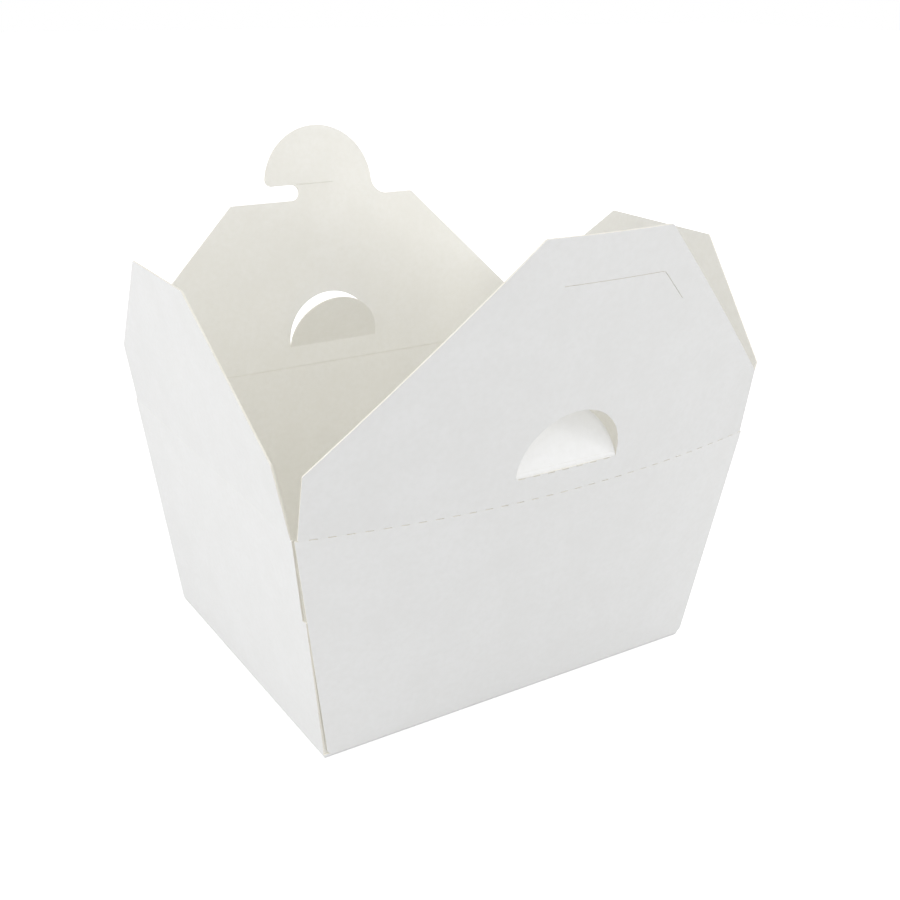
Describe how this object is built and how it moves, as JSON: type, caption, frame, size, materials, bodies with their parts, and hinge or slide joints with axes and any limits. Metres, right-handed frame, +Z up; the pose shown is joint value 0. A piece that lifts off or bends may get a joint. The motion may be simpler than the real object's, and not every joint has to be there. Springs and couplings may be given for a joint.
{
  "type": "takeout food box",
  "caption": "Open tapered takeout box folded from one sheet of white board, with cut-corner lid flaps, half-moon tabs, and a hook that catches in a bent slit.",
  "frame": {"origin": "middle of the base's underside, on the surface that the box stands on", "axes": "+X along the front wall to the right as seen from the front, +Y from the front wall to the back wall, +Z up"},
  "size_m": [0.1511, 0.1372, 0.1343],
  "materials": {
    "board": "matt white food board with a faint sheen"
  },
  "bodies": {
    "box": {"box_body": "board"},
    "front_flap": {"front_flap": "board"},
    "back_flap": {"back_flap": "board"},
    "left_flap": {"left_flap": "board"},
    "right_flap": {"right_flap": "board"}
  },
  "joints": [
    {"name": "front_fold", "type": "hinge", "parent": "box", "child": "front_flap", "pos_m": [0, -0.05357, 0.0635], "axis": [-1, 0, 0], "range_deg": [-107.3, 102.7]},
    {"name": "back_fold", "type": "hinge", "parent": "box", "child": "back_flap", "pos_m": [0, 0.05364, 0.0641], "axis": [1, 0, 0], "range_deg": [-112.5, 96.5]},
    {"name": "left_fold", "type": "hinge", "parent": "box", "child": "left_flap", "pos_m": [-0.06419, 0, 0.0629], "axis": [0, 1, 0], "range_deg": [-110.5, 102.5]},
    {"name": "right_fold", "type": "hinge", "parent": "box", "child": "right_flap", "pos_m": [0.06419, 0, 0.0629], "axis": [0, -1, 0], "range_deg": [-102.2, 110.8]}
  ]
}
